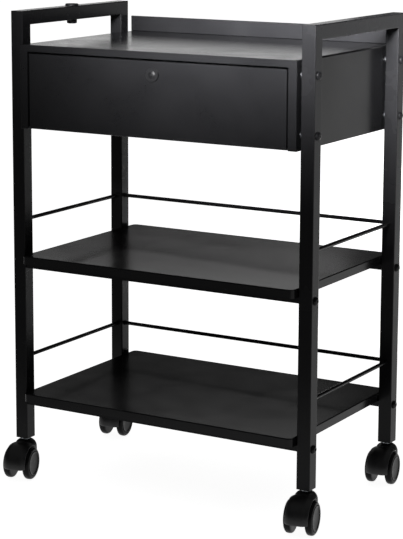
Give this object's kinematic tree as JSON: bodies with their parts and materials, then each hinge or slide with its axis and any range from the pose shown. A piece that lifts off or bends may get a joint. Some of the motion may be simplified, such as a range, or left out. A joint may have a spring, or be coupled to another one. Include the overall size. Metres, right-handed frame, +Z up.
{
  "type": "shelf cart",
  "caption": "Narrow rolling cart: square-tube side frames, sheet trays with wire guard rails, a lockable drawer under a flat top, and hooded swivel castors.",
  "frame": {"origin": "on the floor, under the middle of the cart's footprint box", "axes": "+X to the cart's right, +Y towards its back, +Z up; the drawer opens towards -Y"},
  "size_m": [0.6334, 0.4033, 0.8495],
  "materials": {
    "frame_powder_coat": "satin black powder coat",
    "sheet_powder_coat": "satin black powder coat",
    "bolt_black": "black oxide",
    "lock_black": "black plated",
    "zinc_steel": "zinc plated",
    "castor_nylon": "satin black nylon",
    "wheel_nylon": "semi-gloss black nylon"
  },
  "bodies": {
    "frame": {"front_post_left": "frame_powder_coat", "front_post_right": "frame_powder_coat", "back_post_left": "frame_powder_coat", "back_post_right": "frame_powder_coat", "top_rail_left": "frame_powder_coat", "top_rail_right": "frame_powder_coat", "upper_wire_left": "frame_powder_coat", "upper_wire_right": "frame_powder_coat", "upper_wire_back": "frame_powder_coat", "lower_wire_left": "frame_powder_coat", "lower_wire_right": "frame_powder_coat", "lower_wire_back": "frame_powder_coat", "middle_shelf": "sheet_powder_coat", "crossbar_middle_front": "frame_powder_coat", "crossbar_middle_back": "frame_powder_coat", "lower_shelf": "sheet_powder_coat", "crossbar_lower_front": "frame_powder_coat", "crossbar_lower_back": "frame_powder_coat", "cabinet_shell": "sheet_powder_coat", "cabinet_back": "sheet_powder_coat", "backsplash": "sheet_powder_coat", "cabinet_fixings": "zinc_steel", "frame_bolts": "bolt_black", "lamp_socket": "lock_black", "lamp_socket_nut": "lock_black", "slide_brackets": "sheet_powder_coat", "slide_outer_left": "zinc_steel", "slide_outer_right": "zinc_steel", "stem_sockets": "castor_nylon", "castor_fl_stem": "zinc_steel", "castor_fr_stem": "zinc_steel", "castor_bl_stem": "zinc_steel", "castor_br_stem": "zinc_steel"},
    "drawer": {"drawer_front": "sheet_powder_coat", "drawer_box": "sheet_powder_coat", "lock_body": "lock_black", "lock_nut": "lock_black", "slide_inner_left": "zinc_steel", "slide_inner_right": "zinc_steel"},
    "runner_left": {"slide_middle_left": "zinc_steel"},
    "runner_right": {"slide_middle_right": "zinc_steel"},
    "lock": {"lock_plug": "lock_black", "lock_cam": "lock_black"},
    "castor_fl": {"castor_fl_hood": "castor_nylon", "castor_fl_axle": "zinc_steel"},
    "wheel_fl_left": {"castor_fl_wheel_left": "wheel_nylon"},
    "wheel_fl_right": {"castor_fl_wheel_right": "wheel_nylon"},
    "castor_fr": {"castor_fr_hood": "castor_nylon", "castor_fr_axle": "zinc_steel"},
    "wheel_fr_left": {"castor_fr_wheel_left": "wheel_nylon"},
    "wheel_fr_right": {"castor_fr_wheel_right": "wheel_nylon"},
    "castor_bl": {"castor_bl_hood": "castor_nylon", "castor_bl_axle": "zinc_steel"},
    "wheel_bl_left": {"castor_bl_wheel_left": "wheel_nylon"},
    "wheel_bl_right": {"castor_bl_wheel_right": "wheel_nylon"},
    "castor_br": {"castor_br_hood": "castor_nylon", "castor_br_axle": "zinc_steel"},
    "wheel_br_left": {"castor_br_wheel_left": "wheel_nylon"},
    "wheel_br_right": {"castor_br_wheel_right": "wheel_nylon"}
  },
  "joints": [
    {"name": "drawer_slide", "type": "slide", "parent": "frame", "child": "drawer", "axis": [0, -1, 0], "range_m": [0, 0.27]},
    {"name": "runner_left_slide", "type": "slide", "parent": "frame", "child": "runner_left", "axis": [0, -1, 0], "range_m": [0, 0.135]},
    {"name": "runner_right_slide", "type": "slide", "parent": "frame", "child": "runner_right", "axis": [0, -1, 0], "range_m": [0, 0.135]},
    {"name": "lock_turn", "type": "hinge", "parent": "drawer", "child": "lock", "pos_m": [0, -0.16675, 0.7507], "axis": [0, -1, 0], "range_deg": [0, 90]},
    {"name": "castor_fl_swivel", "type": "hinge", "parent": "frame", "child": "castor_fl", "pos_m": [-0.2875, -0.14325, 0.072], "axis": [0, 0, 1], "continuous": true},
    {"name": "wheel_fl_left_spin", "type": "hinge", "parent": "castor_fl", "child": "wheel_fl_left", "pos_m": [-0.28299, -0.16376, 0.029], "axis": [0.9767, 0.2147, 0], "continuous": true},
    {"name": "wheel_fl_right_spin", "type": "hinge", "parent": "castor_fl", "child": "wheel_fl_right", "pos_m": [-0.28299, -0.16376, 0.029], "axis": [0.9767, 0.2147, 0], "continuous": true},
    {"name": "castor_fr_swivel", "type": "hinge", "parent": "frame", "child": "castor_fr", "pos_m": [0.2875, -0.14325, 0.072], "axis": [0, 0, 1], "continuous": true},
    {"name": "wheel_fr_left_spin", "type": "hinge", "parent": "castor_fr", "child": "wheel_fr_left", "pos_m": [0.29107, -0.16394, 0.029], "axis": [0.9854, 0.1702, 0], "continuous": true},
    {"name": "wheel_fr_right_spin", "type": "hinge", "parent": "castor_fr", "child": "wheel_fr_right", "pos_m": [0.29107, -0.16394, 0.029], "axis": [0.9854, 0.1702, 0], "continuous": true},
    {"name": "castor_bl_swivel", "type": "hinge", "parent": "frame", "child": "castor_bl", "pos_m": [-0.2875, 0.17375, 0.072], "axis": [0, 0, 1], "continuous": true},
    {"name": "wheel_bl_left_spin", "type": "hinge", "parent": "castor_bl", "child": "wheel_bl_left", "pos_m": [-0.28458, 0.15295, 0.029], "axis": [0.9903, 0.1392, 0], "continuous": true},
    {"name": "wheel_bl_right_spin", "type": "hinge", "parent": "castor_bl", "child": "wheel_bl_right", "pos_m": [-0.28458, 0.15295, 0.029], "axis": [0.9903, 0.1392, 0], "continuous": true},
    {"name": "castor_br_swivel", "type": "hinge", "parent": "frame", "child": "castor_br", "pos_m": [0.2875, 0.17375, 0.072], "axis": [0, 0, 1], "continuous": true},
    {"name": "wheel_br_left_spin", "type": "hinge", "parent": "castor_br", "child": "wheel_br_left", "pos_m": [0.28969, 0.15287, 0.029], "axis": [0.9945, 0.1045, 0], "continuous": true},
    {"name": "wheel_br_right_spin", "type": "hinge", "parent": "castor_br", "child": "wheel_br_right", "pos_m": [0.28969, 0.15287, 0.029], "axis": [0.9945, 0.1045, 0], "continuous": true}
  ],
  "couplings": [
    {"joint": "runner_left_slide", "follows": "drawer_slide", "ratio": 0.5},
    {"joint": "runner_right_slide", "follows": "drawer_slide", "ratio": 0.5}
  ]
}
